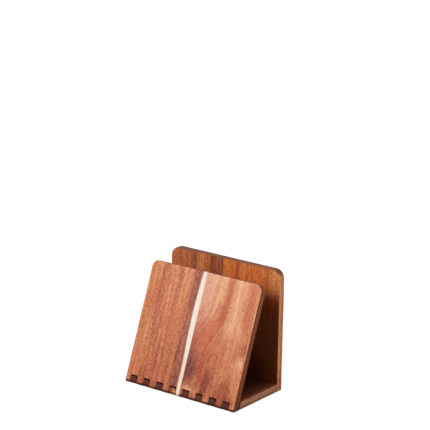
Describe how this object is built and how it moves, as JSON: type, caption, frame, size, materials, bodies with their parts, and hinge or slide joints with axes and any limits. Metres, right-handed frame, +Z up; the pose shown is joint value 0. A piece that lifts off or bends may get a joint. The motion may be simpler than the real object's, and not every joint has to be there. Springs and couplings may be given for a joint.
{
  "type": "napkin holder",
  "caption": "Upright wooden napkin holder: a leaning front board and a vertical back board, finger-jointed to a base, open at the top and at both sides.",
  "frame": {"origin": "on the table, under the middle of the holder's footprint", "axes": "+X across the holder to the right, +Y from the leaning front board to the vertical back board, +Z up"},
  "size_m": [0.165, 0.099, 0.1535],
  "materials": {
    "acacia_amber": "oiled, satin",
    "acacia_russet": "oiled, satin",
    "acacia_dark": "oiled, satin"
  },
  "bodies": {
    "root": {"front_stave_1": "acacia_amber", "front_stave_2": "acacia_amber", "back_stave_1": "acacia_russet", "back_stave_2": "acacia_russet", "back_stave_3": "acacia_dark", "back_stave_4": "acacia_amber", "base_stave_1": "acacia_russet", "base_stave_2": "acacia_amber", "base_stave_3": "acacia_russet", "base_stave_4": "acacia_russet"}
  },
  "joints": []
}
